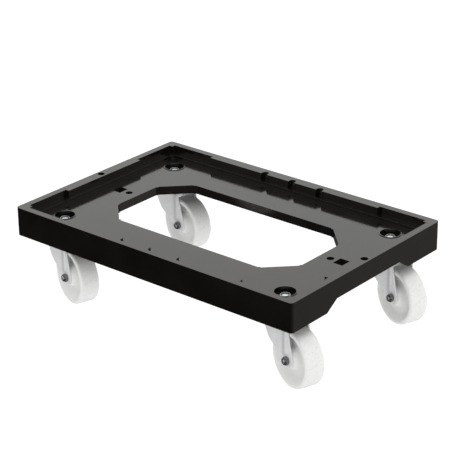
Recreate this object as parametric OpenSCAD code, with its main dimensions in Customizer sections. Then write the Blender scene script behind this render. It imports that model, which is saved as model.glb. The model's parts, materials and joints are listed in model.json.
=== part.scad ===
// Container dolly: a moulded open-centre deck on four swivel castors.
// Millimetres. +Z is up and the floor is z = 0. X runs along the deck's length.
// The origin is the middle of the overall footprint on the floor.

/* [Deck] */
// Length of the deck over its skirt.
deck_l = 613; // [500:1:760]
// Width of the deck over its skirt.
deck_w = 412; // [350:1:520]
// Height of the skirt, from the rim down to its lower edge.
skirt_h = 52.5; // [46:0.5:54]
// Drop from the rim's top to the face the castors bolt against.
boss_drop = 45; // [42:0.5:54]
// Thickness of the moulded walls and plates.
wall_t = 3.5; // [2.5:0.1:4.5]
// Thickness of the stiffening ribs under the floor.
rib_t = 2.5; // [1.8:0.1:4]
// Radius of the deck's four vertical outer corners.
corner_r = 6.5; // [4:0.5:16]
// Width of the rim's top along the middle of each side.
rim_w = 20.5; // [18:0.5:24]
// Width of the rim's top in the four corner zones.
rim_corner_w = 13; // [9:0.5:16]
// Depth of the container seat below the rim.
seat_depth = 14; // [11:0.5:16]
// Width of the seat that carries the container's edge.
seat_w = 5; // [4:0.5:9]
// Depth of the floor below the rim.
floor_depth = 19.5; // [18.5:0.5:24]
// Width of the floor and rim left at each end of the central opening.
end_band = 100.5; // [94:0.5:120]
// Width of the floor and rim left along each side of the central opening.
side_band = 105; // [98:1:120]
// Length of each corner cut of the central opening along X and Y.
opening_cut = 52; // [30:1:60]
// Distance that the opening's slanted sides are set back.
opening_step = 2.5; // [0.5:0.5:4]
// Height of the wall round the central opening, and of the ribs under the floor.
opening_wall_h = 16; // [8:0.5:22]
// Distance from each castor's pivot to the deck's end and side.
castor_inset = 60; // [54:0.25:64]
// Diameter of the pocket over each castor bolt.
pocket_d = 36; // [31:0.5:38]
// Diameter of the pin holes in the rim's ends and in the floor.
pin_hole_d = 13; // [8:0.5:14]
// Spacing of the three round-ended notches in each long side of the rim.
notch_pitch = 62.5; // [30:0.5:80]
// Width of each rim notch.
notch_w = 12.5; // [8:0.5:14]
// Depth of the raised part of the skirt at each end.
end_arch_h = 17; // [4:0.5:18]

/* [Castors] */
// Diameter of each wheel.
wheel_d = 100; // [84:1:120]
// Width of each wheel's tread.
wheel_w = 36; // [30:0.5:44]
// Distance from the swivel axis back to the wheel axle.
trail = 38.5; // [36:0.5:46]
// Thickness of the fork's pressed steel.
fork_t = 2.3; // [1.6:0.1:2.8]
// Diameter of the swivel ball ring.
ball_ring_d = 44; // [38:0.5:48]
// Diameter of the hollow kingpin.
kingpin_d = 19; // [17:0.5:21]
// Diameter of the castor's mounting bolt.
bolt_d = 12; // [10:0.5:12]
// Diameter of the axle bolt.
axle_d = 8; // [6:0.5:9]
// Outer diameter of the axle sleeve the wheel turns on.
sleeve_d = 12; // [11:0.5:16]
// Turn of the front left castor about its swivel axis, in degrees.
turn_fl = -18; // [-30:0.5:30]
// Turn of the back left castor about its swivel axis, in degrees.
turn_bl = -11.5; // [-30:0.5:30]
// Turn of the front right castor about its swivel axis, in degrees.
turn_fr = -18; // [-30:0.5:30]
// Turn of the back right castor about its swivel axis, in degrees.
turn_br = -19; // [-30:0.5:30]

/* [Hidden] */
// Small overlap used where a cut must break through a face.
cut = 1;
// Clearances: a running shaft, a slipped-in bolt, and a ball in its track.
run_gap = 0.05;
slip_gap = 0.25;
ball_gap = 0.3;

// Castor heights, built up from the floor. The crown clears the wheel, and so does the bolt head under it.
wheel_r = wheel_d / 2;
tread_r = 4;
lower_ball_d = 3.9;
lower_cup_t = 2.5;
kingpin_flange_t = 2.5;
bolt_head_h = 7.5;
bolt_head_af = 1.5 * bolt_d;
stack_h = lower_ball_d + 2 * ball_gap + lower_cup_t + kingpin_flange_t + bolt_head_h;
head_near = max(0, trail - bolt_head_af / 2 / cos(30));
head_clear_z = wheel_r + sqrt(max(0, wheel_r * wheel_r - head_near * head_near));
crown_bottom = max(wheel_d + 12, head_clear_z + 1.5 + stack_h);
crown_t = 3;
crown_top = crown_bottom + crown_t;
upper_ball_d = 6.2;
cup_t = 3.2;
cup_bottom = crown_top + upper_ball_d + 2 * ball_gap;
castor_top = cup_bottom + cup_t;
lower_cup_top = crown_bottom - lower_ball_d - 2 * ball_gap;
lower_cup_bottom = lower_cup_top - lower_cup_t;
kingpin_bottom = lower_cup_bottom - kingpin_flange_t;
kingpin_r = kingpin_d / 2;
bolt_r = bolt_d / 2;
cup_r = ball_ring_d / 2 + 10;
crown_r = ball_ring_d / 2 + 9;
lower_ring_r = kingpin_r + 4;
lower_cup_r = lower_ring_r + 5;

// Wheel, fork and axle widths, measured from the wheel's middle plane. The legs clear the lower cup too.
leg_in = max(wheel_w / 2 + 1.3, lower_cup_r + 0.8);
hub_half = leg_in - 0.7;
leg_out = leg_in + fork_t;
bead_h = 0.9;
axle_r = axle_d / 2;
sleeve_r = sleeve_d / 2;
axle_af = 13 * axle_d / 8;
axle_head_h = 5.3;
axle_nut_h = 8;
axle_boss_r = 13.5;

// Deck heights.
rim_top = castor_top + boss_drop;
skirt_bottom = rim_top - skirt_h;
seat_z = rim_top - seat_depth;
floor_z = rim_top - floor_depth;
floor_bottom = floor_z - wall_t;
rib_bottom = floor_z - opening_wall_h;
pocket_z = castor_top + 6.5;
arch_top = skirt_bottom + end_arch_h;

// Deck plan.
castor_x = deck_l / 2 - castor_inset;
castor_y = deck_w / 2 - castor_inset;
opening_l = deck_l - 2 * end_band;
opening_w = deck_w - 2 * side_band;
step_x = deck_l * 0.3115;
step_y = deck_w * 0.2295;
arch_half = deck_w * 0.212;
arch_slope = 28;
boss_r = cup_r + 1;
post_r = pocket_d / 2 + wall_t;
pin_x = (deck_l - rim_w) / 2;
floor_pin_x = opening_l / 2 + 21.5;
slot_x = opening_l / 2 + 44;
slot_l = 19;
slot_w = 21.5;

// Castor bolt stack, from the pocket's floor upwards.
washer_t = 2.5;
washer_r = bolt_r + 8;
nut_bottom = pocket_z + washer_t;
nut_h = 9.5;
nut_af = 19 * bolt_d / 12;
collar_top = nut_bottom + nut_h + 2.5;
collar_r = nut_af / 2 - 0.5;
insert_h = 2.2;
insert_r = bolt_r + 1.5;
bolt_top = collar_top - 0.8;

// Footprint: how far a turned wheel reaches along X from its swivel axis.
function lead(a) = (wheel_r - tread_r) * cos(a) + (wheel_w / 2 - tread_r) * abs(sin(a)) + tread_r;
function reach(a) = trail * cos(a) + lead(a);
function back(a) = lead(a) - trail * cos(a);
foot_right = max(deck_l / 2, castor_x + max(reach(turn_fr), reach(turn_br)));
foot_left = max(deck_l / 2, castor_x + max(back(turn_fl), back(turn_bl)));
foot_mid = (foot_right - foot_left) / 2;

// Castor places: front left, back left, front right, back right.
module place_fl() translate([-castor_x - foot_mid, -castor_y, 0]) rotate([0, 0, turn_fl]) children();
module place_bl() translate([-castor_x - foot_mid, castor_y, 0]) rotate([0, 0, turn_bl]) children();
module place_fr() translate([castor_x - foot_mid, -castor_y, 0]) rotate([0, 0, turn_fr]) children();
module place_br() translate([castor_x - foot_mid, castor_y, 0]) rotate([0, 0, turn_br]) children();
module place_all() {
    place_fl() children();
    place_bl() children();
    place_fr() children();
    place_br() children();
}

// A rectangle with rounded corners, centred.
module round_rect(l, w, r) {
    square([l - 2 * r, w], center = true);
    square([l, w - 2 * r], center = true);
    for (sx = [-1, 1])
        for (sy = [-1, 1])
            translate([sx * (l / 2 - r), sy * (w / 2 - r)]) circle(r);
}

// Plan of the deck's outside, drawn in by d.
module deck_plan(d = 0) round_rect(deck_l - 2 * d, deck_w - 2 * d, corner_r - d);

// Plan of the space inside the rim, drawn out by d: narrow in the middle, wider towards the
// corners, with a small square left in each corner.
module rim_plan(d = 0) {
    l = deck_l - 2 * (rim_w - d);
    w = deck_w - 2 * (rim_w - d);
    square([l, w], center = true);
    difference() {
        square([l, deck_w - 2 * (rim_corner_w - d)], center = true);
        square([2 * (step_x - d), deck_w], center = true);
    }
    difference() {
        square([deck_l - 2 * (rim_corner_w - d), w], center = true);
        square([deck_l, 2 * (step_y - d)], center = true);
    }
}

// Plan of the space inside the seat, drawn out by d.
module seat_plan(d = 0) {
    l = deck_l - 2 * (rim_w + seat_w - d);
    w = deck_w - 2 * (rim_w + seat_w - d);
    round_rect(l, w, 6 + d);
}

// Plan of the eight-sided central opening, drawn out by d. Its four slanted sides are set back a little.
module opening_plan(d = 0) {
    a = opening_l / 2 + d;
    b = opening_w / 2 + d;
    c = opening_cut + d * 0.586;
    polygon([[a, b - c], [a - c, b], [c - a, b], [-a, b - c],
        [-a, c - b], [c - a, -b], [a - c, -b], [a, c - b]]);
    for (sx = [-1, 1])
        for (sy = [-1, 1])
            translate([sx * (a - c / 2), sy * (b - c / 2)])
                rotate([0, 0, -45 * sx * sy])
                    square([c * sqrt(2) - 9, 2 * opening_step], center = true);
}

// A slab of a plan between two heights.
module slab(z0, z1) translate([0, 0, z0]) linear_extrude(height = z1 - z0) children();

// Plan of the ribs that run between the skirt and the opening.
module rib_plan() {
    xs = [0, 0.1025, 0.205, 0.3115];
    for (s = [-1, 1])
        for (k = xs)
            translate([s * k * deck_l, 0]) square([rib_t, deck_w - wall_t], center = true);
    for (s = [-1, 1]) {
        translate([0, s * (opening_w / 2 + 22)]) square([deck_l - wall_t, rib_t], center = true);
        translate([0, s * castor_y]) square([deck_l - wall_t, rib_t], center = true);
        translate([0, s * (opening_w / 2 - opening_cut)]) square([deck_l - wall_t, rib_t], center = true);
        translate([s * castor_x, 0]) square([rib_t, deck_w - wall_t], center = true);
    }
}

// Skirt, rim, seat and floor, as plates and walls.
module deck_shell() {
    slab(skirt_bottom, rim_top) difference() {
        deck_plan();
        deck_plan(wall_t);
    }
    slab(rim_top - wall_t, rim_top) difference() {
        deck_plan();
        rim_plan();
    }
    slab(seat_z - wall_t, rim_top) difference() {
        rim_plan(wall_t);
        rim_plan();
    }
    slab(seat_z - wall_t, seat_z) difference() {
        rim_plan(wall_t);
        seat_plan();
    }
    slab(floor_bottom, seat_z) difference() {
        seat_plan(wall_t);
        seat_plan();
    }
    slab(floor_bottom, floor_z) difference() {
        seat_plan(wall_t);
        opening_plan();
    }
    slab(floor_z - opening_wall_h, floor_z) difference() {
        opening_plan(wall_t);
        opening_plan();
    }
}

// Ribs under the floor, and their ends inside the hollow rim.
module deck_ribs() {
    slab(rib_bottom, floor_bottom + cut) difference() {
        intersection() {
            rib_plan();
            deck_plan(wall_t / 2);
        }
        opening_plan(wall_t / 2);
        castor_plans(boss_r - wall_t / 2);
    }
    slab(floor_bottom, rim_top - wall_t / 2) difference() {
        intersection() {
            rib_plan();
            deck_plan(wall_t / 2);
        }
        rim_plan(wall_t / 2);
    }
}

// A disc of radius r over each castor.
module castor_plans(r) {
    for (sx = [-1, 1])
        for (sy = [-1, 1])
            translate([sx * castor_x, sy * castor_y]) circle(r);
}

// The round seat each castor bolts against: two rings joined by spokes, and the bolt's web.
module deck_bosses() {
    slab(castor_top, floor_bottom + cut) difference() {
        castor_plans(boss_r);
        castor_plans(boss_r - wall_t);
    }
    slab(castor_top, floor_bottom + cut) castor_plans(post_r);
    for (sx = [-1, 1])
        for (sy = [-1, 1])
            translate([sx * castor_x, sy * castor_y, castor_top])
                for (a = [0 : 45 : 315])
                    rotate([0, 0, a])
                        translate([post_r - cut, -rib_t / 2, 0])
                            cube([boss_r - post_r, rib_t, floor_bottom - castor_top + cut]);
    slab(floor_z - cut, floor_z + 1) difference() {
        castor_plans(pocket_d / 2 + 1.6);
        castor_plans(pocket_d / 2);
    }
}

// Collars round the pin holes and slots in the floor, and pockets behind the rim notches.
module deck_collars() {
    for (s = [-1, 1]) {
        translate([s * floor_pin_x, 0, rib_bottom])
            cylinder(h = floor_z - rib_bottom - 1, r = pin_hole_d / 2 + 2.5);
        translate([s * slot_x - slot_l / 2 - 2.5, -slot_w / 2 - 2.5, rib_bottom])
            cube([slot_l + 5, slot_w + 5, floor_z - rib_bottom - 1]);
        for (k = [-1, 0, 1])
            translate([k * notch_pitch - notch_w / 2 - 3, s * (deck_w / 2 - rim_w / 2 - 1) - rim_w / 2, seat_z - 3])
                cube([notch_w + 6, rim_w - 1, seat_depth]);
    }
}

// Everything that is cut out of the deck.
module deck_cuts() {
    slab(pocket_z, rim_top) castor_plans(pocket_d / 2);
    slab(castor_top - cut, rim_top) castor_plans(bolt_r + slip_gap);
    for (s = [-1, 1]) {
        translate([s * pin_x, 0, rim_top - wall_t - cut]) cylinder(h = wall_t + 2 * cut, r = pin_hole_d / 2);
        translate([s * floor_pin_x, 0, rib_bottom - cut])
            cylinder(h = floor_z - rib_bottom + 2 * cut, r = pin_hole_d / 2);
        translate([s * slot_x - slot_l / 2, -slot_w / 2, rib_bottom - cut])
            cube([slot_l, slot_w, floor_z - rib_bottom + 2 * cut]);
        for (k = [-1, 0, 1])
            translate([k * notch_pitch, s * (deck_w / 2 - rim_w + 4.5), seat_z]) {
                cylinder(h = seat_depth + cut, r = notch_w / 2);
                translate([-notch_w / 2, -s * 5 - 5, 0]) cube([notch_w, 10, seat_depth + cut]);
            }
        translate([s * (deck_l / 2 - 6) - 8, 0, 0]) rotate([90, 0, 90])
            linear_extrude(height = 16)
                polygon([[-arch_half - arch_slope, skirt_bottom - cut], [-arch_half, arch_top],
                    [arch_half, arch_top], [arch_half + arch_slope, skirt_bottom - cut]]);
    }
}

module deck_tray() {
    color([0.045, 0.045, 0.05])
        translate([-foot_mid, 0, 0])
            difference() {
                union() {
                    deck_shell();
                    deck_ribs();
                    deck_bosses();
                    deck_collars();
                }
                deck_cuts();
            }
}

// Hexagonal bolt through each hollow kingpin, its head under the castor and its end in the nut.
module castor_bolts() {
    color([0.72, 0.73, 0.75])
        place_all() {
            translate([0, 0, kingpin_bottom - bolt_head_h])
                cylinder(h = bolt_head_h, d = bolt_head_af / cos(30), $fn = 6);
            translate([0, 0, kingpin_bottom - 0.5]) cylinder(h = bolt_top - kingpin_bottom + 0.5, r = bolt_r);
        }
}

// Hollow kingpin, flanged at its lower end.
module kingpins() {
    color([0.70, 0.71, 0.73])
        place_all() difference() {
            union() {
                translate([0, 0, kingpin_bottom]) cylinder(h = castor_top - kingpin_bottom, r = kingpin_r);
                translate([0, 0, kingpin_bottom]) cylinder(h = kingpin_flange_t, r = kingpin_r + 4.5);
            }
            translate([0, 0, kingpin_bottom - cut])
                cylinder(h = castor_top - kingpin_bottom + 2 * cut, r = bolt_r + slip_gap);
        }
}

// Pressed cup that carries the upper balls and sits against the deck.
module top_cups() {
    color([0.78, 0.79, 0.80])
        place_all() difference() {
            union() {
                translate([0, 0, cup_bottom]) cylinder(h = cup_t, r = cup_r);
                translate([0, 0, crown_top + 2.2]) cylinder(h = castor_top - crown_top - 2.2, r = cup_r);
            }
            translate([0, 0, crown_top]) cylinder(h = cup_bottom - crown_top, r = cup_r - 2);
            translate([0, 0, cup_bottom - cut]) cylinder(h = cup_t + 2 * cut, r = kingpin_r);
        }
}

// Pressed cup under the fork's crown, held by the kingpin's flange.
module lower_cups() {
    color([0.74, 0.75, 0.77])
        place_all() difference() {
            translate([0, 0, lower_cup_bottom]) cylinder(h = lower_cup_t + 2.4, r = lower_cup_r);
            translate([0, 0, lower_cup_top]) cylinder(h = 2.4 + cut, r = lower_cup_r - 1.6);
            translate([0, 0, lower_cup_bottom - cut]) cylinder(h = lower_cup_t + 2 * cut, r = kingpin_r);
        }
}

module upper_balls() {
    color([0.55, 0.56, 0.58])
        place_all()
            for (a = [0 : 30 : 330])
                rotate([0, 0, a])
                    translate([ball_ring_d / 2, 0, crown_top + ball_gap + upper_ball_d / 2])
                        sphere(d = upper_ball_d);
}

module lower_balls() {
    color([0.55, 0.56, 0.58])
        place_all()
            for (a = [0 : 36 : 324])
                rotate([0, 0, a])
                    translate([lower_ring_r, 0, lower_cup_top + ball_gap + lower_ball_d / 2])
                        sphere(d = lower_ball_d);
}

module mount_washers() {
    color([0.76, 0.77, 0.79])
        place_all() difference() {
            translate([0, 0, pocket_z]) cylinder(h = washer_t, r = washer_r);
            translate([0, 0, pocket_z - cut]) cylinder(h = washer_t + 2 * cut, r = bolt_r + slip_gap);
        }
}

// Self-locking nut: a hexagon with a round collar that holds the insert.
module mount_nuts() {
    color([0.80, 0.81, 0.82])
        place_all() difference() {
            union() {
                translate([0, 0, nut_bottom]) cylinder(h = nut_h, d = nut_af / cos(30), $fn = 6);
                translate([0, 0, nut_bottom]) cylinder(h = collar_top - nut_bottom, r = collar_r);
            }
            translate([0, 0, nut_bottom - cut]) cylinder(h = nut_h + 4, r = bolt_r);
            translate([0, 0, collar_top - insert_h]) cylinder(h = insert_h + cut, r = insert_r);
        }
}

module nut_inserts() {
    color([0.20, 0.22, 0.26])
        place_all() difference() {
            translate([0, 0, collar_top - insert_h]) cylinder(h = insert_h - 0.3, r = insert_r);
            translate([0, 0, collar_top - insert_h - cut]) cylinder(h = insert_h + 2 * cut, r = bolt_r);
        }
}

// Side outline of the fork's legs: wide under the crown, rounded round the axle.
module fork_side() {
    lo = crown_top;
    zr = crown_top - wheel_r;
    difference() {
        union() {
            polygon([[-crown_r + 1, lo], [-crown_r + 1, lo - 8], [-26, wheel_r + zr * 0.55],
                [-15, wheel_r + zr * 0.30], [0, wheel_r + zr * 0.17], [trail - 15, wheel_r],
                [trail - 10, wheel_r - 9], [trail, wheel_r - axle_boss_r + 1], [trail + axle_boss_r - 0.2, wheel_r + 1],
                [trail - 1, lo - 12], [trail - 3, lo]]);
            translate([trail, wheel_r]) circle(axle_boss_r);
        }
        translate([trail, wheel_r]) circle(axle_r + 0.1);
    }
}

// Cross section of the fork: a U with bent shoulders.
module fork_section() {
    bend = 6;
    difference() {
        union() {
            translate([-leg_out, 0]) square([2 * leg_out, crown_top - bend]);
            translate([-leg_out + bend, 0]) square([2 * (leg_out - bend), crown_top]);
            for (s = [-1, 1]) translate([s * (leg_out - bend), crown_top - bend]) circle(bend);
        }
        translate([-leg_in, -cut]) square([2 * leg_in, crown_bottom - bend + crown_t + cut]);
        translate([-leg_in + bend - crown_t, 0]) square([2 * (leg_in - bend + crown_t), crown_bottom]);
        for (s = [-1, 1])
            translate([s * (leg_in - bend + crown_t), crown_bottom - bend + crown_t]) circle(bend - crown_t);
    }
}

// One castor fork: crown, two legs and a pressed bead down each leg.
module fork() {
    color([0.80, 0.81, 0.82])
        difference() {
            union() {
                intersection() {
                    translate([-60, 0, 0]) rotate([90, 0, 90]) linear_extrude(height = 140) fork_section();
                    translate([0, 60, 0]) rotate([90, 0, 0]) linear_extrude(height = 120) fork_side();
                }
                translate([0, 0, crown_bottom]) cylinder(h = crown_t, r = crown_r);
                for (s = [-1, 1]) {
                    translate([trail - 10, s * leg_out, wheel_r + 17])
                        rotate([90, 0, 0]) cylinder(h = 2 * bead_h, r = 6, center = true);
                    translate([trail - 16, s * leg_out - bead_h, wheel_r + 17])
                        cube([12, 2 * bead_h, crown_top - wheel_r - 31]);
                    translate([trail - 10, s * leg_out, crown_top - 14])
                        rotate([90, 0, 0]) cylinder(h = 2 * bead_h, r = 6, center = true);
                }
            }
            translate([0, 0, crown_bottom - cut]) cylinder(h = crown_t + 2 * cut, r = kingpin_r + run_gap);
        }
}

// Hexagonal bolt through the fork's legs; its head is on the side away from the nut.
module axle_bolt() {
    color([0.62, 0.63, 0.65])
        translate([trail, 0, wheel_r]) rotate([90, 0, 0]) {
            translate([0, 0, -leg_out - axle_head_h])
                cylinder(h = axle_head_h, d = axle_af / cos(30), $fn = 6);
            translate([0, 0, -leg_out - 0.5]) cylinder(h = 2 * leg_out + axle_nut_h + 1.5, r = axle_r);
        }
}

// Steel tube clamped between the legs; the wheel turns on it.
module axle_sleeve() {
    color([0.66, 0.67, 0.69])
        translate([trail, 0, wheel_r]) rotate([90, 0, 0]) difference() {
            cylinder(h = 2 * leg_in, r = sleeve_r, center = true);
            cylinder(h = 2 * leg_in + 2 * cut, r = axle_r + 0.1, center = true);
        }
}

// Self-locking axle nut with a round collar.
module axle_nut() {
    color([0.30, 0.30, 0.32])
        translate([trail, 0, wheel_r]) rotate([90, 0, 0]) difference() {
            union() {
                translate([0, 0, leg_out]) cylinder(h = axle_nut_h - 2, d = axle_af / cos(30), $fn = 6);
                translate([0, 0, leg_out]) cylinder(h = axle_nut_h, r = axle_af / 2 - 0.6);
            }
            translate([0, 0, leg_out - cut]) cylinder(h = axle_nut_h + 2 * cut, r = axle_r);
        }
}

// Half section of the one-piece wheel: hub, thin web and rounded tread.
module wheel_section() {
    h = wheel_w / 2;
    hub_r = sleeve_r + 9.5;
    bore_r = sleeve_r + run_gap;
    translate([bore_r, -hub_half]) square([hub_r - bore_r, 2 * hub_half]);
    polygon([[hub_r - 1, -hub_half], [hub_r + 2, -h + 4], [hub_r + 5, -7], [wheel_r - 18, -7],
        [wheel_r - 9.5, -h + 2], [wheel_r - 6.5, -h], [wheel_r - 6, -h], [wheel_r - 6, h],
        [wheel_r - 6.5, h], [wheel_r - 9.5, h - 2], [wheel_r - 18, 7],
        [hub_r + 5, 7], [hub_r + 2, h - 4], [hub_r - 1, hub_half]]);
    translate([wheel_r - 6.5, -h]) square([6.5 - tread_r, wheel_w]);
    translate([wheel_r - 6.5, -h + tread_r]) square([6.5, wheel_w - 2 * tread_r]);
    for (s = [-1, 1]) translate([wheel_r - tread_r, s * (h - tread_r)]) circle(tread_r);
}

module wheel() {
    color([0.90, 0.90, 0.89])
        translate([trail, 0, wheel_r]) rotate([90, 0, 0]) rotate_extrude() wheel_section();
}

deck_tray();
castor_bolts();
kingpins();
top_cups();
lower_cups();
upper_balls();
lower_balls();
mount_washers();
mount_nuts();
nut_inserts();
place_fl() fork();  // fork_fl
place_fl() axle_bolt();  // axle_bolt_fl
place_fl() axle_sleeve();  // axle_sleeve_fl
place_fl() axle_nut();  // axle_nut_fl
place_fl() wheel();  // wheel_fl
place_bl() fork();  // fork_bl
place_bl() axle_bolt();  // axle_bolt_bl
place_bl() axle_sleeve();  // axle_sleeve_bl
place_bl() axle_nut();  // axle_nut_bl
place_bl() wheel();  // wheel_bl
place_fr() fork();  // fork_fr
place_fr() axle_bolt();  // axle_bolt_fr
place_fr() axle_sleeve();  // axle_sleeve_fr
place_fr() axle_nut();  // axle_nut_fr
place_fr() wheel();  // wheel_fr
place_br() fork();  // fork_br
place_br() axle_bolt();  // axle_bolt_br
place_br() axle_sleeve();  // axle_sleeve_br
place_br() axle_nut();  // axle_nut_br
place_br() wheel();  // wheel_br
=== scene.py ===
"""Container dolly: a black moulded deck with an open centre, on four swivel castors with white
nylon wheels. Metres, Z up. Sections follow the dolly as it is put together: deck, castor fixings,
swivel heads, forks, axles, wheels."""
import json
import math

import bmesh
import bpy
import numpy as np
from mathutils import Matrix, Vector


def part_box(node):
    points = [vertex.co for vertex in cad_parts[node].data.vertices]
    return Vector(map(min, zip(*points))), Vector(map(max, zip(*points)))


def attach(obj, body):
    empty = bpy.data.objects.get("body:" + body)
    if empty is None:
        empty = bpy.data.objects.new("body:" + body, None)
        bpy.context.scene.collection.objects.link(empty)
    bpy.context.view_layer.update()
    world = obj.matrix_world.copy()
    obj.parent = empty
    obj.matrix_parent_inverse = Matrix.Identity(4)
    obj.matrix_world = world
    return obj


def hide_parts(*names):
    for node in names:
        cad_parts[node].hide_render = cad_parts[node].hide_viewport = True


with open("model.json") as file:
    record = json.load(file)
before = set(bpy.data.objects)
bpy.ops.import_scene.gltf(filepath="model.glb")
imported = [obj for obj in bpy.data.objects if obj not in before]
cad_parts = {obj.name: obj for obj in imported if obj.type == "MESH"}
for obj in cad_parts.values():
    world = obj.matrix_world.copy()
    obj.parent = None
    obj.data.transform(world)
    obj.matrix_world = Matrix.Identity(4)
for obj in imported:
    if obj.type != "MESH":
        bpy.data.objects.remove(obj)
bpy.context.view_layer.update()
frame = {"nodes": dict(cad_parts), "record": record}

# ---------------------------------------------------------------- camera, floor and light
# A long lens stands in front of the right-hand front corner and looks down on the deck. The floor
# is a pale sheet, and the light is a soft white tent with one broad lamp overhead.
MM = 0.001
VIEW_TURN, VIEW_RISE, VIEW_ROLL = math.radians(40.139), math.radians(23.743), math.radians(-0.633)
VIEW_DISTANCE, VIEW_SLIDE, VIEW_LIFT = 3014.713 * MM, -0.285 * MM, -19.4 * MM
LENS, SENSOR = 139.133, 36.0

deck_low, deck_high = (np.array(c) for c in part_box("deck_tray"))
rim_middle = np.array([(deck_low[0] + deck_high[0]) / 2, (deck_low[1] + deck_high[1]) / 2, deck_high[2]])


def look_axes(turn, rise, roll):
    """Camera axes: back = (sin t cos r, -cos t cos r, sin r); right is level, then both are rolled about back."""
    back = np.array([math.sin(turn) * math.cos(rise), -math.cos(turn) * math.cos(rise), math.sin(rise)])
    level = np.array([math.cos(turn), math.sin(turn), 0.0])
    above = np.cross(back, level)
    right = level * math.cos(roll) + above * math.sin(roll)
    up = above * math.cos(roll) - level * math.sin(roll)
    return right, up, back


right, up, back = look_axes(VIEW_TURN, VIEW_RISE, VIEW_ROLL)
eye = rim_middle + right * VIEW_SLIDE + up * VIEW_LIFT + back * VIEW_DISTANCE
camera_data = bpy.data.cameras.new("camera")
camera_data.lens, camera_data.sensor_width = LENS, SENSOR
camera_data.clip_start, camera_data.clip_end = 0.05, 60.0
camera = bpy.data.objects.new("camera", camera_data)
placed = np.eye(4)
placed[:3, 0], placed[:3, 1], placed[:3, 2], placed[:3, 3] = right, up, back, eye
camera.matrix_world = Matrix(placed.tolist())
bpy.context.scene.collection.objects.link(camera)
bpy.context.scene.camera = camera
bpy.context.scene.view_settings.view_transform = "Standard"
bpy.context.scene.view_settings.look = "None"


def grid_faces(rows, cols, wrap_rows=False, wrap_cols=False):
    """Corner numbers of the squares of a rows x cols grid of points, closed round either way if asked."""
    i = np.arange(rows if wrap_rows else rows - 1)[:, None]
    j = np.arange(cols if wrap_cols else cols - 1)[None, :]
    a, b = i * cols + j, i * cols + (j + 1) % cols
    c, d = ((i + 1) % rows) * cols + (j + 1) % cols, ((i + 1) % rows) * cols + j
    return np.stack([a, b, c, d], axis=-1).reshape(-1, 4)


def make_piece(name, parts, material, smooth_angle=35.0, merge=1e-6):
    """One mesh object from (points, squares) parts, welded at seams and poles, with its faces turned outwards."""
    points = np.concatenate([np.asarray(p, dtype=float).reshape(-1, 3) for p, _ in parts])
    starts = np.cumsum([0] + [np.asarray(p).reshape(-1, 3).shape[0] for p, _ in parts[:-1]])
    squares = np.concatenate([np.asarray(f) + s for (_, f), s in zip(parts, starts)])
    mesh = bpy.data.meshes.new(name)
    mesh.from_pydata(points.tolist(), [], squares.tolist())
    work = bmesh.new()
    work.from_mesh(mesh)
    bmesh.ops.remove_doubles(work, verts=work.verts, dist=merge)
    bmesh.ops.recalc_face_normals(work, faces=work.faces)
    work.to_mesh(mesh)
    work.free()
    mesh.polygons.foreach_set("use_smooth", np.ones(len(mesh.polygons), dtype=bool))
    mesh.set_sharp_from_angle(angle=math.radians(smooth_angle))
    mesh.materials.append(material)
    piece = bpy.data.objects.new(name, mesh)
    bpy.context.scene.collection.objects.link(piece)
    return piece


def new_material(name):
    """An empty node material and its surface shader."""
    material = bpy.data.materials.new(name)
    material.use_nodes = True
    return material, material.node_tree.nodes, material.node_tree.links, material.node_tree.nodes["Principled BSDF"]


FLOOR_HALF = 6.0
floor_material, nodes, links, shader = new_material("pale_floor")
shader.inputs["Base Color"].default_value = (0.12, 0.12, 0.12, 1)
shader.inputs["Roughness"].default_value = 0.9
shader.inputs["Specular IOR Level"].default_value = 0.0
shader.inputs["Emission Color"].default_value = (1, 1, 1, 1)
shader.inputs["Emission Strength"].default_value = 1.0
ends = np.linspace(-FLOOR_HALF, FLOOR_HALF, 3)
floor_x, floor_y = np.meshgrid(ends, ends, indexing="ij")
floor = make_piece("studio_floor", [(np.stack([floor_x, floor_y, 0 * floor_x], -1), grid_faces(3, 3))], floor_material)
floor.visible_glossy = False

world = bpy.data.worlds.new("studio_tent")
bpy.context.scene.world = world
world.use_nodes = True
SKY_SIDE, SKY_BRIGHT, SKY_DIM = (-0.59, 0.70, 0.40), 1.28, 0.80
GROUND_SIDE, GROUND_BRIGHT, GROUND_DIM = (0.59, 0.70, -0.40), 0.32, 0.02


def toward(direction, low, high, from_low, from_high):
    """World brightness that eases from low to high as the view turns to the direction: by their dot product."""
    nodes, links = world.node_tree.nodes, world.node_tree.links
    dot = nodes.new("ShaderNodeVectorMath")
    dot.operation = "DOT_PRODUCT"
    dot.inputs[1].default_value = direction
    links.new(tent_view.outputs["Generated"], dot.inputs[0])
    ease = nodes.new("ShaderNodeMapRange")
    ease.interpolation_type = "SMOOTHSTEP"
    for socket, value in (("From Min", from_low), ("From Max", from_high), ("To Min", low), ("To Max", high)):
        ease.inputs[socket].default_value = value
    links.new(dot.outputs["Value"], ease.inputs["Value"])
    return ease.outputs["Result"]


tent_view = world.node_tree.nodes.new("ShaderNodeTexCoord")
horizon = world.node_tree.nodes.new("ShaderNodeMix")
horizon.data_type = "FLOAT"
world.node_tree.links.new(toward((0, 0, 1), 0.0, 1.0, -0.02, 0.06), horizon.inputs["Factor"])
world.node_tree.links.new(toward(GROUND_SIDE, GROUND_DIM, GROUND_BRIGHT, -0.2, 0.95), horizon.inputs["A"])
world.node_tree.links.new(toward(SKY_SIDE, SKY_DIM, SKY_BRIGHT, 0.1, 0.85), horizon.inputs["B"])
world.node_tree.links.new(horizon.outputs["Result"], world.node_tree.nodes["Background"].inputs["Strength"])
world.node_tree.nodes["Background"].inputs["Color"].default_value = (1.0, 1.0, 1.0, 1)


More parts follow.
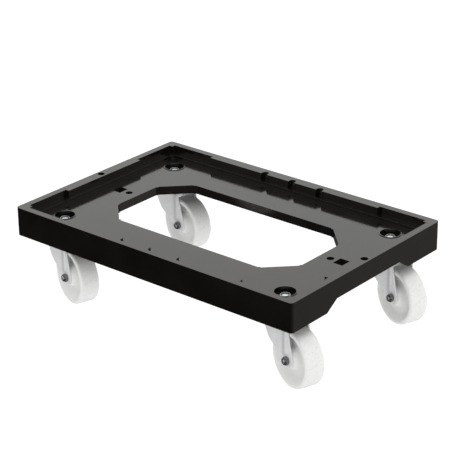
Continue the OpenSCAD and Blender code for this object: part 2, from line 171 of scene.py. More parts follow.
def soft_lamp(name, place, aim, size, power):
    """A square area lamp at place, turned to face aim."""
    data = bpy.data.lights.new(name, "AREA")
    data.energy, data.size = power, size
    lamp = bpy.data.objects.new(name, data)
    z = np.array(place, dtype=float) - np.array(aim, dtype=float)
    z /= np.linalg.norm(z)
    x = np.cross([0.0, 1.0, 0.001], z)
    x /= np.linalg.norm(x)
    turned = np.eye(4)
    turned[:3, 0], turned[:3, 1], turned[:3, 2], turned[:3, 3] = x, np.cross(z, x), z, place
    lamp.matrix_world = Matrix(turned.tolist())
    bpy.context.scene.collection.objects.link(lamp)
    return lamp


soft_lamp("lamp_over", (0.9, 0.6, 2.6), (0.0, 0.0, 0.1), 1.6, 9.0)
soft_lamp("lamp_right", (2.6, -0.6, 1.5), (0.0, 0.0, 0.1), 1.2, 5.0)

# ---------------------------------------------------------------- deck
# One injection moulding in black plastic. Its tray faces are smooth and half glossy, and the outer
# skirt and the ribbed underside have the finer, duller grain of a textured mould and a darker base colour,
# which is painted shade on these side and under faces.
DECK_EDGE, SEAT_EDGE = 0.9 * MM, 1.6 * MM
SEAT_DEPTH, INSIDE_RIM, SHARP = 14 * MM, 24 * MM, math.radians(30)


def moulded_black(name, tint, sheen_tint, rough_low, rough_high, gloss, grain, grain_depth):
    """Black plastic: colour and roughness wander over large soft patches, and a fine grain lifts the surface."""
    material, nodes, links, shader = new_material(name)
    place = nodes.new("ShaderNodeTexCoord")
    patch = nodes.new("ShaderNodeTexNoise")
    patch.inputs["Scale"].default_value = 14.0
    patch.inputs["Detail"].default_value = 4.0
    links.new(place.outputs["Object"], patch.inputs["Vector"])
    shade = nodes.new("ShaderNodeMapRange")
    shade.inputs["To Min"].default_value = rough_low
    shade.inputs["To Max"].default_value = rough_high
    links.new(patch.outputs["Fac"], shade.inputs["Value"])
    links.new(shade.outputs["Result"], shader.inputs["Roughness"])
    colour = nodes.new("ShaderNodeMix")
    colour.data_type = "RGBA"
    colour.inputs["A"].default_value = (tint[0] * 0.2, tint[1] * 0.2, tint[2] * 0.2, 1)
    colour.inputs["B"].default_value = (tint[0] * 2.6, tint[1] * 2.5, tint[2] * 2.4, 1)
    links.new(patch.outputs["Fac"], colour.inputs["Factor"])
    links.new(colour.outputs["Result"], shader.inputs["Base Color"])
    fine = nodes.new("ShaderNodeTexNoise")
    fine.inputs["Scale"].default_value = grain
    fine.inputs["Detail"].default_value = 3.0
    links.new(place.outputs["Object"], fine.inputs["Vector"])
    lift = nodes.new("ShaderNodeBump")
    lift.inputs["Strength"].default_value = 0.35
    lift.inputs["Distance"].default_value = grain_depth
    links.new(fine.outputs["Fac"], lift.inputs["Height"])
    links.new(lift.outputs["Normal"], shader.inputs["Normal"])
    shader.inputs["Specular IOR Level"].default_value = gloss
    shader.inputs["Specular Tint"].default_value = (*sheen_tint, 1)
    return material


tray_finish = moulded_black("tray_black", (0.0052, 0.0049, 0.0046), (1.0, 0.96, 0.925), 0.07, 0.15, 0.5, 260.0, 0.02 * MM)
# The skirt copy's duller grain is the mould's finish; its darker tint is painted shade for the side and under faces.
skirt_grain_and_shade = moulded_black("skirt_black_painted_shade", (0.0022, 0.0018, 0.0015), (1.0, 0.93, 0.86), 0.30, 0.45, 0.36, 900.0, 0.04 * MM)


def copy_of_node(node, name):
    """A copy of a frame solid's mesh with its loose triangles welded and its flat faces rejoined."""
    mesh = frame["nodes"][node].data.copy()
    mesh.name = name
    work = bmesh.new()
    work.from_mesh(mesh)
    bmesh.ops.remove_doubles(work, verts=work.verts, dist=2e-6)
    bmesh.ops.dissolve_limit(work, angle_limit=math.radians(0.5), verts=work.verts, edges=work.edges)
    work.to_mesh(mesh)
    work.free()
    mesh.materials.clear()
    piece = bpy.data.objects.new(name, mesh)
    bpy.context.scene.collection.objects.link(piece)
    return piece


def round_edges(piece, width, segments=2, angle=30.0):
    """Rounds every edge sharper than the angle."""
    bevel = piece.modifiers.new("rounded_edges", "BEVEL")
    bevel.width, bevel.segments = width, segments
    bevel.limit_method, bevel.angle_limit = "ANGLE", math.radians(angle)
    bevel.use_clamp_overlap = True
    bevel.harden_normals = True
    return bevel


deck = copy_of_node("deck_tray", "deck")
deck.data.materials.append(tray_finish)
deck.data.materials.append(skirt_grain_and_shade)
faces = deck.data.polygons
middle = np.empty(len(faces) * 3)
facing = np.empty(len(faces) * 3)
faces.foreach_get("center", middle)
faces.foreach_get("normal", facing)
middle, facing = middle.reshape(-1, 3), facing.reshape(-1, 3)
half = (deck_high - deck_low)[:2] / 2
off_side = np.maximum(np.abs(middle[:, 0] - rim_middle[0]) - half[0], np.abs(middle[:, 1] - rim_middle[1]) - half[1])
# Side and under faces take the skirt material: duller grain, and a darker tint that is painted shade.
outer = (off_side > -6 * MM) & (np.abs(facing[:, 2]) < 0.3)
under = facing[:, 2] < -0.3
faces.foreach_set("material_index", np.where(outer | under, 1, 0).astype(np.int32))
faces.foreach_set("use_smooth", np.ones(len(faces), dtype=bool))
deck.data.set_sharp_from_angle(angle=SHARP)
ends = np.empty(len(deck.data.edges) * 2, dtype=np.int32)
deck.data.edges.foreach_get("vertices", ends)
corners = np.empty(len(deck.data.vertices) * 3)
deck.data.vertices.foreach_get("co", corners)
runs = corners.reshape(-1, 3)[ends.reshape(-1, 2)] - rim_middle
work = bmesh.new()
work.from_mesh(deck.data)
work.edges.ensure_lookup_table()
sharp = np.array([e.calc_face_angle(0.0) > SHARP for e in work.edges])
work.free()
on_seat = np.all(np.abs(runs[:, :, 2] + SEAT_DEPTH) < 0.1 * MM, axis=1)
inner = np.all(np.abs(runs[:, :, :2]) < half - INSIDE_RIM, axis=1).all(axis=1)
weight = np.where(sharp, np.where(on_seat & inner, 1.0, DECK_EDGE / SEAT_EDGE), 0.0)
deck.data.attributes.new("bevel_weight_edge", "FLOAT", "EDGE").data.foreach_set("value", weight.astype(np.float32))
rounding = round_edges(deck, SEAT_EDGE)
rounding.limit_method = "WEIGHT"
flat_faces = deck.modifiers.new("flat_faces_stay_flat", "WEIGHTED_NORMAL")
flat_faces.keep_sharp = True
flat_faces.weight = 80
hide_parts("deck_tray")
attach(deck, "deck")

# ---------------------------------------------------------------- castor places and turned shapes
# Every castor has its own level axes: ahead along its trail, side along its axle, and up. The pieces
# below are worked out in those axes and then set down on each of the four swivels.
CASTORS = ("fl", "bl", "fr", "br")
joints = {joint["name"]: joint for joint in frame["record"]["behaviour"]["joints"]}


def castor_axes(key):
    """Foot of the swivel axis, and the rows ahead, side and up, from the swivel's and the axle's places."""
    pivot = np.array(joints["swivel_" + key]["pos_m"]) * (1, 1, 0)
    axle = np.array(joints["roll_" + key]["pos_m"]) * (1, 1, 0)
    ahead = (axle - pivot) / np.linalg.norm(axle - pivot)
    return pivot, np.array([ahead, [-ahead[1], ahead[0], 0.0], [0.0, 0.0, 1.0]])


def on_castor(key, points):
    """World place of points given in millimetres along a castor's own axes: foot + points times its rows."""
    pivot, rows = castor_axes(key)
    return pivot + np.asarray(points, dtype=float) * MM @ rows


def soften(profile, radius, steps=5, closed=True):
    """Rounds the corners of a profile: each corner p becomes the curve (1-t)^2 a + 2t(1-t) p + t^2 b between
    the points a and b that lie the radius, or at most 0.45 of the side, away along its two sides."""
    p = np.asarray(profile, dtype=float)
    before, after = np.roll(p, 1, axis=0), np.roll(p, -1, axis=0)
    radius = np.broadcast_to(np.asarray(radius, dtype=float), (len(p),))[:, None]

    def toward(q):
        side = q - p
        far = np.maximum(np.linalg.norm(side, axis=1, keepdims=True), 1e-9)
        return p + side / far * np.minimum(radius, 0.45 * far)

    a, b = toward(before), toward(after)
    if not closed:
        a[0], b[0], a[-1], b[-1] = p[0], p[0], p[-1], p[-1]
    t = np.linspace(0, 1, steps)[None, :, None]
    curve = (1 - t) ** 2 * a[:, None] + 2 * t * (1 - t) * p[:, None] + t ** 2 * b[:, None]
    return curve.reshape(-1, 2)


def turned(profile, steps=64, flats=None, closed=True):
    """A profile of (radius, height) rows turned once round: x = r cos t, y = r sin t, z = height. With flats,
    r is also held inside a hexagon: r = min(radius, flats / 2 / cos(t mod 60 deg - 30 deg))."""
    profile = np.asarray(profile, dtype=float)
    t = np.linspace(0, 2 * np.pi, steps, endpoint=False)[None, :]
    r = profile[:, :1] + 0 * t
    if flats:
        r = np.minimum(r, flats / 2 / np.cos(np.mod(t, np.pi / 3) - np.pi / 6))
    points = np.stack([r * np.cos(t), r * np.sin(t), profile[:, 1:] + 0 * t], axis=-1)
    return points, grid_faces(len(profile), steps, wrap_rows=closed, wrap_cols=True)


def keep_own_place(piece, key, centre, about_axle=False):
    """Stores each point's place in the piece's own axes, in metres, for its material to use."""
    pivot, rows = castor_axes(key)
    mesh = piece.data
    points = np.empty(len(mesh.vertices) * 3)
    mesh.vertices.foreach_get("co", points)
    own = (points.reshape(-1, 3) - pivot) @ rows.T - np.asarray(centre) * MM
    if about_axle:
        own = own[:, [0, 2, 1]]
    mesh.attributes.new("own_place", "FLOAT_VECTOR", "POINT").data.foreach_set("vector", own.astype(np.float32).ravel())


def stand_for(piece, node, body):
    """Hides a piece's node so the piece stands in its place, and puts the piece on its body."""
    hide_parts(node)
    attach(piece, body)


def plated_steel(name, tint, metal, rough_low, rough_high, brushed=1.0):
    """Zinc plate on steel: mottled brightness from two noises, cloudy roughness, and a faint grain."""
    material, nodes, links, shader = new_material(name)
    place = nodes.new("ShaderNodeTexCoord")
    stretch = nodes.new("ShaderNodeMapping")
    stretch.inputs["Scale"].default_value = (1, 1, brushed)
    links.new(place.outputs["Object"], stretch.inputs["Vector"])
    cloud = nodes.new("ShaderNodeTexNoise")
    cloud.inputs["Scale"].default_value = 55.0
    cloud.inputs["Detail"].default_value = 5.0
    cloud.inputs["Roughness"].default_value = 0.65
    links.new(place.outputs["Object"], cloud.inputs["Vector"])
    spangle = nodes.new("ShaderNodeTexVoronoi")
    spangle.inputs["Scale"].default_value = 420.0
    links.new(place.outputs["Object"], spangle.inputs["Vector"])
    colour = nodes.new("ShaderNodeMix")
    colour.data_type = "RGBA"
    colour.inputs["A"].default_value = (tint[0] * 0.86, tint[1] * 0.865, tint[2] * 0.88, 1)
    colour.inputs["B"].default_value = (min(1, tint[0] * 1.08), min(1, tint[1] * 1.08), min(1, tint[2] * 1.08), 1)
    links.new(cloud.outputs["Fac"], colour.inputs["Factor"])
    grains = nodes.new("ShaderNodeMix")
    grains.data_type = "RGBA"
    grains.blend_type = "MULTIPLY"
    grains.inputs["Factor"].default_value = 0.10
    links.new(colour.outputs["Result"], grains.inputs["A"])
    links.new(spangle.outputs["Color"], grains.inputs["B"])
    links.new(grains.outputs["Result"], shader.inputs["Base Color"])
    gloss = nodes.new("ShaderNodeMapRange")
    gloss.inputs["To Min"].default_value = rough_low
    gloss.inputs["To Max"].default_value = rough_high
    links.new(cloud.outputs["Fac"], gloss.inputs["Value"])
    links.new(gloss.outputs["Result"], shader.inputs["Roughness"])
    grain = nodes.new("ShaderNodeTexNoise")
    grain.inputs["Scale"].default_value = 900.0
    grain.inputs["Detail"].default_value = 2.0
    links.new(stretch.outputs["Vector"], grain.inputs["Vector"])
    lift = nodes.new("ShaderNodeBump")
    lift.inputs["Strength"].default_value = 0.25
    lift.inputs["Distance"].default_value = 0.03 * MM
    links.new(grain.outputs["Fac"], lift.inputs["Height"])
    links.new(lift.outputs["Normal"], shader.inputs["Normal"])
    shader.inputs["Metallic"].default_value = metal
    return material


# ---------------------------------------------------------------- castor fixings in the deck
# In each deck pocket a washer and a self-locking nut hold the castor's bolt. The nut ends in a rolled
# collar round a dark nylon ring, and the bolt's chamfered end shows inside it.
WASHER_LOW, WASHER_TOP, WASHER_R = 131.5, 134.0, 14.0
NUT_LOW, NUT_HEX_TOP, NUT_TOP, NUT_FLATS, NUT_COLLAR_R = 134.0, 143.5, 146.0, 19.0, 9.0
BOLT_LOW, BOLT_HEAD_TOP, BOLT_TOP, BOLT_R, BOLT_FLATS = 95.0, 102.5, 145.2, 6.0, 18.0
THREAD_PITCH = 1.75
STEEL_TINT = (0.74, 0.745, 0.755)

bolt_finish = plated_steel("zinc_plate", STEEL_TINT, 0.9, 0.20, 0.42)

washer_profile = soften([(6.25, WASHER_LOW), (WASHER_R, WASHER_LOW), (WASHER_R, WASHER_TOP), (6.25, WASHER_TOP)], 0.5)
washers = make_piece("pocket_washers", [(on_castor(k, g), f) for k in CASTORS for g, f in [turned(washer_profile, 72)]], bolt_finish)
stand_for(washers, "mount_washers", "deck")


def chamfer_rows(end, inward, inner_r, count=6):
    """Rows of a 30 degree chamfer that runs from inner_r at a hexagon's end out past its corners."""
    step = np.linspace(0, 1, count)
    return np.stack([inner_r + step * 2.6, end + inward * step * 1.5], axis=-1)


nut_profile = np.concatenate([
    [(BOLT_R, NUT_LOW + 0.6), (BOLT_R + 0.7, NUT_LOW)],
    chamfer_rows(NUT_LOW, 1, 8.9),
    chamfer_rows(NUT_HEX_TOP, -1, 8.9)[::-1],
    soften([(NUT_COLLAR_R, NUT_HEX_TOP), (NUT_COLLAR_R, NUT_TOP - 0.9), (NUT_COLLAR_R - 0.9, NUT_TOP), (7.55, NUT_TOP),
            (7.55, NUT_TOP - 2.2)], 0.7, closed=False),
    [(BOLT_R, NUT_TOP - 2.2)]])
nuts = make_piece("pocket_nuts", [(on_castor(k, g), f) for k in CASTORS for g, f in [turned(nut_profile, 96, NUT_FLATS)]], bolt_finish)
stand_for(nuts, "mount_nuts", "deck")


def threads(low, high, radius, depth, pitch, rows_per_turn=8):
    """Rows of a threaded length: the radius dips by depth (1 - cos(2 pi z / pitch)) / 2 along it."""
    z = np.linspace(low, high, int((high - low) / pitch * rows_per_turn) + 1)
    return np.stack([radius - depth * (1 - np.cos(2 * np.pi * (z - low) / pitch)) / 2, z], axis=-1)


bolt_profile = np.concatenate([
    [(0, BOLT_LOW)], chamfer_rows(BOLT_LOW, 1, 8.2), [(11, BOLT_HEAD_TOP - 0.4), (8.7, BOLT_HEAD_TOP - 0.4),
    (8.7, BOLT_HEAD_TOP), (BOLT_R, BOLT_HEAD_TOP)],
    threads(BOLT_HEAD_TOP + 20, BOLT_TOP - 0.9, BOLT_R, 0.55, THREAD_PITCH),
    [(BOLT_R - 0.9, BOLT_TOP - 0.1), (BOLT_R - 1.1, BOLT_TOP), (0, BOLT_TOP)]])
bolts = make_piece("castor_bolts_turned", [(on_castor(k, g), f) for k in CASTORS
                   for g, f in [turned(bolt_profile, 96, BOLT_FLATS, closed=False)]], bolt_finish)
stand_for(bolts, "castor_bolts", "deck")


def nylon_ring_finish():
    """Dark blue-grey nylon with cloudy tone and cloudy roughness."""
    material, nodes, links, shader = new_material("locking_ring_nylon")
    place = nodes.new("ShaderNodeTexCoord")
    cloud = nodes.new("ShaderNodeTexNoise")
    cloud.inputs["Scale"].default_value = 240.0
    links.new(place.outputs["Object"], cloud.inputs["Vector"])
    tone = nodes.new("ShaderNodeMix")
    tone.data_type = "RGBA"
    tone.inputs["A"].default_value = (0.035, 0.04, 0.05, 1)
    tone.inputs["B"].default_value = (0.07, 0.08, 0.10, 1)
    links.new(cloud.outputs["Fac"], tone.inputs["Factor"])
    links.new(tone.outputs["Result"], shader.inputs["Base Color"])
    gloss = nodes.new("ShaderNodeMapRange")
    gloss.inputs["To Min"].default_value = 0.4
    gloss.inputs["To Max"].default_value = 0.6
    links.new(cloud.outputs["Fac"], gloss.inputs["Value"])
    links.new(gloss.outputs["Result"], shader.inputs["Roughness"])
    return material


def refinish(node, material):
    """Gives a carried-over solid a new material in every slot."""
    solid = frame["nodes"][node]
    for slot in solid.material_slots:
        slot.material = material


refinish("nut_inserts", nylon_ring_finish())

# ---------------------------------------------------------------- swivel heads
# A pressed cup under the deck carries the large balls on the fork's crown, a smaller cup below carries
# the small ones, and a hollow kingpin with a flange holds all three together.
cup_finish = plated_steel("pressed_cup_zinc", (0.80, 0.805, 0.81), 0.75, 0.25, 0.45)
ball_finish = plated_steel("greased_ball_steel", (0.55, 0.555, 0.57), 1.0, 0.08, 0.22)
KINGPIN_R, KINGPIN_LOW, CASTOR_TOP, FLANGE_R, FLANGE_T = 9.5, 102.5, 125.0, 14.0, 2.5

kingpin_profile = soften([(6.25, KINGPIN_LOW), (FLANGE_R, KINGPIN_LOW), (FLANGE_R, KINGPIN_LOW + FLANGE_T),
                          (KINGPIN_R, KINGPIN_LOW + FLANGE_T), (KINGPIN_R, CASTOR_TOP), (6.25, CASTOR_TOP)],
                         (0.6, 0.9, 0.5, 0.01, 0.3, 0.3))
kingpins = make_piece("kingpins_turned", [(on_castor(k, g), f) for k in CASTORS for g, f in [turned(kingpin_profile, 72)]], bolt_finish)
stand_for(kingpins, "kingpins", "deck")

top_cup_profile = soften([(KINGPIN_R, 121.8), (30, 121.8), (30, 117.2), (32, 117.2), (32, 125), (KINGPIN_R, 125)],
                         (0.3, 1.2, 0.4, 0.5, 2.6, 0.3))
top_cups = make_piece("upper_cups", [(on_castor(k, g), f) for k in CASTORS for g, f in [turned(top_cup_profile, 96)]], cup_finish)
stand_for(top_cups, "top_cups", "deck")

low_cup_profile = soften([(KINGPIN_R, 105), (18.5, 105), (18.5, 109.9), (16.9, 109.9), (16.9, 107.5), (KINGPIN_R, 107.5)],
                         (0.2, 1.8, 0.4, 0.4, 0.8, 0.2))
low_cups = make_piece("small_cups", [(on_castor(k, g), f) for k in CASTORS for g, f in [turned(low_cup_profile, 72)]], cup_finish)
stand_for(low_cups, "lower_cups", "deck")

refinish("upper_balls", ball_finish)
refinish("lower_balls", ball_finish)

# ---------------------------------------------------------------- forks
# Each fork is pressed from one sheet: a round crown whose two sides bend down into legs. A leg's front
# edge sweeps back to a round end at the axle, and a raised bead runs down it to just above the axle.
SHEET, LEG_MID, LEG_BEND, BEND_Z = 2.3, 20.45, 4.65, 109.0
AXLE_X, AXLE_Z, LEG_END_R = 38.5, 50.0, 13.5
BEAD_X, BEAD_LOW, BEAD_HIGH, BEAD_R, BEAD_LIFT = 28.0, 62.0, 104.0, 6.0, 1.7
FRONT_EDGE = np.array([(61.0, 0.0), (69.5, -15.0), (85.75, -26.0), (107.0, -30.0), (120.0, -30.0)])
REAR_EDGE = np.array([(51.0, 51.8), (103.0, 37.5), (120.0, 35.0)])
fork_finish = plated_steel("bright_zinc_sheet", (0.95, 0.955, 0.95), 0.12, 0.28, 0.42)


def paint_bead_shade(material):
    """Painted shade in a leg's bead: the plate is darkened over the bead's rear half, while its front flank keeps
    the plain plate colour and so reads as a bright line. With d the distance to the bead's line, the plate is mixed
    towards grey by smooth(d from radius + 0.6 to radius - 1.6), behind the bright line."""
    nodes, links = material.node_tree.nodes, material.node_tree.links
    shader = nodes["Principled BSDF"]
    plate = shader.inputs["Base Color"].links[0].from_socket
    own = nodes.new("ShaderNodeAttribute")
    own.attribute_name = "own_place"
    flat = nodes.new("ShaderNodeVectorMath")
    flat.operation = "MULTIPLY"
    flat.inputs[1].default_value = (1, 0, 1)
    links.new(own.outputs["Vector"], flat.inputs[0])
    low = nodes.new("ShaderNodeVectorMath")
    low.operation = "MAXIMUM"
    low.inputs[1].default_value = (-1, 0, BEAD_LOW * MM)
    links.new(flat.outputs["Vector"], low.inputs[0])
    line = nodes.new("ShaderNodeVectorMath")
    line.operation = "MULTIPLY_ADD"
    line.inputs[1].default_value = (0, 0, 1)
    line.inputs[2].default_value = (BEAD_X * MM, 0, 0)
    links.new(low.outputs["Vector"], line.inputs[0])
    gap = nodes.new("ShaderNodeVectorMath")
    gap.operation = "DISTANCE"
    links.new(flat.outputs["Vector"], gap.inputs[0])
    links.new(line.outputs["Vector"], gap.inputs[1])
    split = nodes.new("ShaderNodeSeparateXYZ")
    links.new(own.outputs["Vector"], split.inputs["Vector"])

    def ranged(value, low_from, high_from, low_to, high_to):
        node = nodes.new("ShaderNodeMapRange")
        node.interpolation_type = "SMOOTHSTEP"
        for socket, v in (("From Min", low_from), ("From Max", high_from), ("To Min", low_to), ("To Max", high_to)):
            node.inputs[socket].default_value = v
        links.new(value, node.inputs["Value"])
        return node.outputs["Result"]

    inside = ranged(gap.outputs["Value"], (BEAD_R + 0.6) * MM, (BEAD_R - 2.6) * MM, 0.0, 1.0)
    behind = ranged(split.outputs["X"], (BEAD_X - 4.5) * MM, (BEAD_X - 0.5) * MM, 0.05, 1.0)
    amount = nodes.new("ShaderNodeMath")
    amount.operation = "MULTIPLY"
    links.new(inside, amount.inputs[0])
    links.new(behind, amount.inputs[1])
    # Painted shade: the plate is mixed towards grey over the rear half of the bead.
    shaded = nodes.new("ShaderNodeMix")
    shaded.data_type = "RGBA"
    shaded.inputs["B"].default_value = (0.66, 0.665, 0.66, 1)
    links.new(amount.outputs[0], shaded.inputs["Factor"])
    links.new(plate, shaded.inputs["A"])
    links.new(shaded.outputs["Result"], shader.inputs["Base Color"])


# The forks' plate gets painted shade in the rear half of each leg's bead.
paint_bead_shade(fork_finish)


def leg_edges(z):
    """Front and rear edge of a leg at a height: R - sqrt(r^2 - (z - c)^2) round the axle, straight runs above."""
    bow = np.sqrt(np.clip(LEG_END_R ** 2 - (z - AXLE_Z) ** 2, 0, None))
    front_high = np.interp(z, np.concatenate([[44.0], FRONT_EDGE[:, 0]]), np.concatenate([[26.4], FRONT_EDGE[:, 1]]))
    rear_high = np.interp(z, REAR_EDGE[:, 0], REAR_EDGE[:, 1])
    front = np.where(z < 44.0, AXLE_X - bow, front_high)
    rear = np.where(z < 50.5, AXLE_X + bow, rear_high)
    return front, rear


def leg_sheet(side, rows=150, cols=56):
    """Middle surface of one leg: up from its round end, round the bend and in across the crown. Its edges
    come from leg_edges, and the bead adds lift * smooth((radius + 1.2 - d) / 2.4), d = distance to its line."""
    run_up, arc, run_in = BEND_Z - (AXLE_Z - LEG_END_R), LEG_BEND * np.pi / 2, 6.0
    s = np.concatenate([[0.0, 0.25, 0.8, 1.6], np.linspace(2.6, run_up, rows - 24), run_up + np.linspace(0, 1, 14)[1:] * arc,
                        run_up + arc + np.linspace(0, 1, 8)[1:] * run_in])
    turn = np.clip((s - run_up) / LEG_BEND, 0, np.pi / 2)
    z = np.minimum(s, run_up) + AXLE_Z - LEG_END_R + LEG_BEND * np.sin(turn)
    y = LEG_MID - LEG_BEND * (1 - np.cos(turn)) - np.clip(s - run_up - arc, 0, None)
    front, rear = leg_edges(np.minimum(s + AXLE_Z - LEG_END_R, 118.0))
    blur = np.exp(-0.5 * (np.arange(-9, 10) / 3.2) ** 2)
    blur /= blur.sum()
    smooth_front = np.convolve(np.pad(front, 9, mode="edge"), blur, "valid")
    smooth_rear = np.convolve(np.pad(rear, 9, mode="edge"), blur, "valid")
    ease = np.clip((s - 6.0) / 10.0, 0, 1)
    front, rear = front + (smooth_front - front) * ease, rear + (smooth_rear - rear) * ease
    across = np.linspace(0, 1, cols)[None, :]
    x = front[:, None] + (rear - front)[:, None] * across
    near_z = np.clip(z[:, None], BEAD_LOW, BEAD_HIGH)
    d = np.hypot(x - BEAD_X, z[:, None] - near_z)
    rise = np.clip((BEAD_R + 1.2 - d) / 2.4, 0, 1)
    lift = BEAD_LIFT * rise ** 2 * (3 - 2 * rise) * (z[:, None] < BEND_Z + 0.01)
    return np.stack([x, side * (y[:, None] + lift), z[:, None] + 0 * x], axis=-1), grid_faces(len(s), cols)


crown_profile = soften([(9.6, 112.0), (31, 112.0), (31, 115), (9.6, 115)], (0.2, 0.9, 1.2, 0.2))
for key in CASTORS:
    fork = make_piece("fork_sheet_" + key, [(on_castor(key, g), f) for g, f in (leg_sheet(-1), leg_sheet(1))], fork_finish, merge=1e-5)
    thick = fork.modifiers.new("sheet_thickness", "SOLIDIFY")
    thick.thickness, thick.offset, thick.use_even_offset = SHEET * MM, 0.0, True
    round_edges(fork, 0.45 * MM, 2, 50.0)
    crown = make_piece("fork_crown_" + key, [(on_castor(key, g), f) for g, f in [turned(crown_profile, 96)]], fork_finish)
    keep_own_place(fork, key, (0.0, 0.0, 0.0))
    keep_own_place(crown, key, (0.0, 0.0, 0.0))
    stand_for(fork, "fork_" + key, "castor_" + key)
    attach(crown, "castor_" + key)

# ---------------------------------------------------------------- axles
# A hexagon-headed bolt goes through both legs and the wheel's steel sleeve, and a dark self-locking nut
# with a round collar holds it on the outer side. A little of the bolt's thread stands out of the nut.
AXLE_R, SLEEVE_R, LEG_IN, LEG_OUT, AXLE_FLATS, AXLE_END = 4.0, 6.0, 19.3, 21.6, 13.0, 30.6
nut_finish = plated_steel("dark_nut_plate", (0.20, 0.20, 0.205), 1.0, 0.10, 0.20)


def along_axle(grid):
    """Lays a turned shape along a castor's axle: its own z runs towards the nut, on the castor's -side."""
    points, faces = grid
    return np.stack([points[..., 0] + AXLE_X, -points[..., 2], points[..., 1] + AXLE_Z], axis=-1), faces


axle_bolt_profile = np.concatenate([
    [(0, -LEG_OUT - 5.3)], chamfer_rows(-LEG_OUT - 5.3, 1, 5.9, 5), [(8, -LEG_OUT - 0.3), (6.2, -LEG_OUT - 0.3), (6.2, -LEG_OUT),
    (AXLE_R, -LEG_OUT)], threads(LEG_OUT - 6, AXLE_END - 0.6, AXLE_R, 0.4, 1.25),
    [(AXLE_R - 0.7, AXLE_END), (0, AXLE_END)]])
sleeve_profile = soften([(4.1, -LEG_IN), (SLEEVE_R, -LEG_IN), (SLEEVE_R, LEG_IN), (4.1, LEG_IN)], 0.3)
axle_nut_profile = np.concatenate([
    [(AXLE_R, LEG_OUT + 0.5), (AXLE_R + 0.6, LEG_OUT)], chamfer_rows(LEG_OUT, 1, 6.1, 5), chamfer_rows(LEG_OUT + 6.0, -1, 6.1, 5)[::-1],
    soften([(5.9, LEG_OUT + 6.0), (5.9, LEG_OUT + 7.2), (5.2, LEG_OUT + 8), (4.9, LEG_OUT + 8), (4.9, LEG_OUT + 7.0)], 0.4, closed=False),
    [(AXLE_R, LEG_OUT + 7.0)]])
for key in CASTORS:
    for name, node, grid, finish, slot in (
            ("axle_bolt_turned_", "axle_bolt_", turned(axle_bolt_profile, 72, AXLE_FLATS, closed=False), bolt_finish, "bolt_zinc"),
            ("axle_sleeve_turned_", "axle_sleeve_", turned(sleeve_profile, 48), bolt_finish, "bolt_zinc"),
            ("axle_nut_turned_", "axle_nut_", turned(axle_nut_profile, 72, AXLE_FLATS), nut_finish, "nut_dark")):
        points, squares = along_axle(grid)
        piece = make_piece(name + key, [(on_castor(key, points), squares)], finish)
        stand_for(piece, node + key, "castor_" + key)

# ---------------------------------------------------------------- wheels
# Solid white nylon wheels, each moulded in one: a long hub, a thin web in a dished face, a wide flat
# tread with rounded edges, and a fine mould line round its middle.
WHEEL_R, TREAD_HALF, HUB_HALF, HUB_R, WEB_HALF = 50.0, 18.0, 18.6, 15.5, 7.0


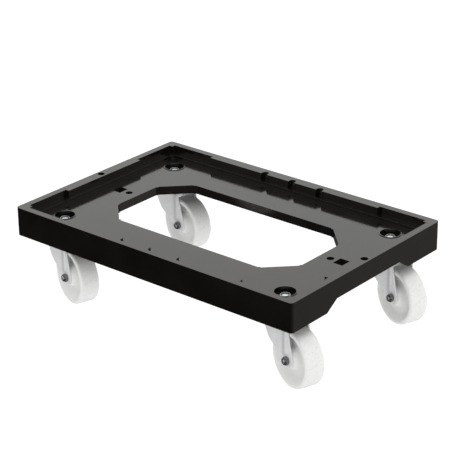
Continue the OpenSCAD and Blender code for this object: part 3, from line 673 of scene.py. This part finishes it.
def nylon_finish():
    """White nylon: warm cloudy tone, grime and scuffs on the tread, painted shade in the dished face, fine turning
    marks.
    Everything is read from the wheel's own place (across, up, along the axle), so it turns with the wheel."""
    material, nodes, links, shader = new_material("white_nylon")
    place = nodes.new("ShaderNodeAttribute")
    place.attribute_name = "own_place"
    split = nodes.new("ShaderNodeSeparateXYZ")
    links.new(place.outputs["Vector"], split.inputs["Vector"])

    def combine(kind, a, b=None, value=None):
        node = nodes.new("ShaderNodeMath")
        node.operation = kind
        links.new(a, node.inputs[0])
        if b is not None:
            links.new(b, node.inputs[1])
        elif value is not None:
            node.inputs[1].default_value = value
        return node.outputs[0]

    def ranged(a, low, high, to_low=0.0, to_high=1.0):
        node = nodes.new("ShaderNodeMapRange")
        node.interpolation_type = "SMOOTHSTEP"
        for socket, v in (("From Min", low), ("From Max", high), ("To Min", to_low), ("To Max", to_high)):
            node.inputs[socket].default_value = v
        links.new(a, node.inputs["Value"])
        return node.outputs["Result"]

    radius = combine("SQRT", combine("ADD", combine("MULTIPLY", split.outputs["X"], split.outputs["X"]),
                                     combine("MULTIPLY", split.outputs["Y"], split.outputs["Y"])))
    cloud = nodes.new("ShaderNodeTexNoise")
    cloud.inputs["Scale"].default_value = 38.0
    cloud.inputs["Detail"].default_value = 5.0
    links.new(place.outputs["Vector"], cloud.inputs["Vector"])
    tone = nodes.new("ShaderNodeMix")
    tone.data_type = "RGBA"
    tone.inputs["A"].default_value = (0.80, 0.80, 0.79, 1)
    tone.inputs["B"].default_value = (0.92, 0.92, 0.915, 1)
    links.new(cloud.outputs["Fac"], tone.inputs["Factor"])
    scuff = nodes.new("ShaderNodeTexNoise")
    scuff.inputs["Scale"].default_value = 210.0
    scuff.inputs["Detail"].default_value = 6.0
    scuff.inputs["Roughness"].default_value = 0.7
    links.new(place.outputs["Vector"], scuff.inputs["Vector"])
    on_tread = ranged(radius, 0.0485, 0.0498)
    worn = combine("MULTIPLY", on_tread, ranged(scuff.outputs["Fac"], 0.52, 0.70))
    dirty = nodes.new("ShaderNodeMix")
    dirty.data_type = "RGBA"
    dirty.inputs["B"].default_value = (0.56, 0.56, 0.54, 1)
    links.new(combine("MULTIPLY", worn, value=0.45), dirty.inputs["Factor"])
    links.new(tone.outputs["Result"], dirty.inputs["A"])
    depth = combine("ABSOLUTE", split.outputs["Z"])
    # Painted shade: the recessed face inside the rim is mixed towards grey, most strongly near the web.
    hollow = combine("MULTIPLY", ranged(depth, 0.0175, 0.0075), ranged(radius, 0.0462, 0.0425))
    shaded = nodes.new("ShaderNodeMix")
    shaded.data_type = "RGBA"
    shaded.inputs["B"].default_value = (0.70, 0.70, 0.695, 1)
    links.new(combine("MULTIPLY", hollow, value=0.45), shaded.inputs["Factor"])
    links.new(dirty.outputs["Result"], shaded.inputs["A"])
    links.new(shaded.outputs["Result"], shader.inputs["Base Color"])
    links.new(ranged(scuff.outputs["Fac"], 0.35, 0.7, 0.34, 0.52), shader.inputs["Roughness"])
    rings = nodes.new("ShaderNodeTexNoise")
    rings.noise_dimensions = "1D"
    rings.inputs["Scale"].default_value = 2600.0
    links.new(radius, rings.inputs["W"])
    height = combine("ADD", combine("MULTIPLY", rings.outputs["Fac"], value=0.4), combine("MULTIPLY", scuff.outputs["Fac"], value=0.6))
    lift = nodes.new("ShaderNodeBump")
    lift.inputs["Strength"].default_value = 0.3
    lift.inputs["Distance"].default_value = 0.06 * MM
    links.new(height, lift.inputs["Height"])
    links.new(lift.outputs["Normal"], shader.inputs["Normal"])
    shader.inputs["Subsurface Weight"].default_value = 0.12
    shader.inputs["Subsurface Radius"].default_value = (0.004, 0.004, 0.0038)
    shader.inputs["Subsurface Scale"].default_value = 1.0
    return material


wheel_finish = nylon_finish()
half_rows = [(6.05, HUB_HALF - 0.5), (6.6, HUB_HALF), (HUB_R - 1, HUB_HALF), (HUB_R + 2, 14.0), (HUB_R + 5, WEB_HALF), (31, WEB_HALF),
             (40.5, 15.5), (43.5, TREAD_HALF), (46, TREAD_HALF), (48.83, 16.83), (WHEEL_R, 14.0), (WHEEL_R, 0.5), (WHEEL_R - 0.12, 0.25)]
half_round = [0.2, 0.3, 1.6, 3.0, 4.0, 4.0, 3.5, 2.5, 1.2, 1.8, 1.2, 0.1, 0.05]
wheel_profile = soften(np.array(half_rows + [(r, -z) for r, z in half_rows[::-1]]), half_round + half_round[::-1], 6)
for key in CASTORS:
    points, squares = along_axle(turned(wheel_profile, 128))
    wheel = make_piece("nylon_wheel_" + key, [(on_castor(key, points), squares)], wheel_finish, smooth_angle=50.0)
    keep_own_place(wheel, key, (AXLE_X, 0.0, AXLE_Z), about_axle=True)
    stand_for(wheel, "wheel_" + key, "wheel_" + key)
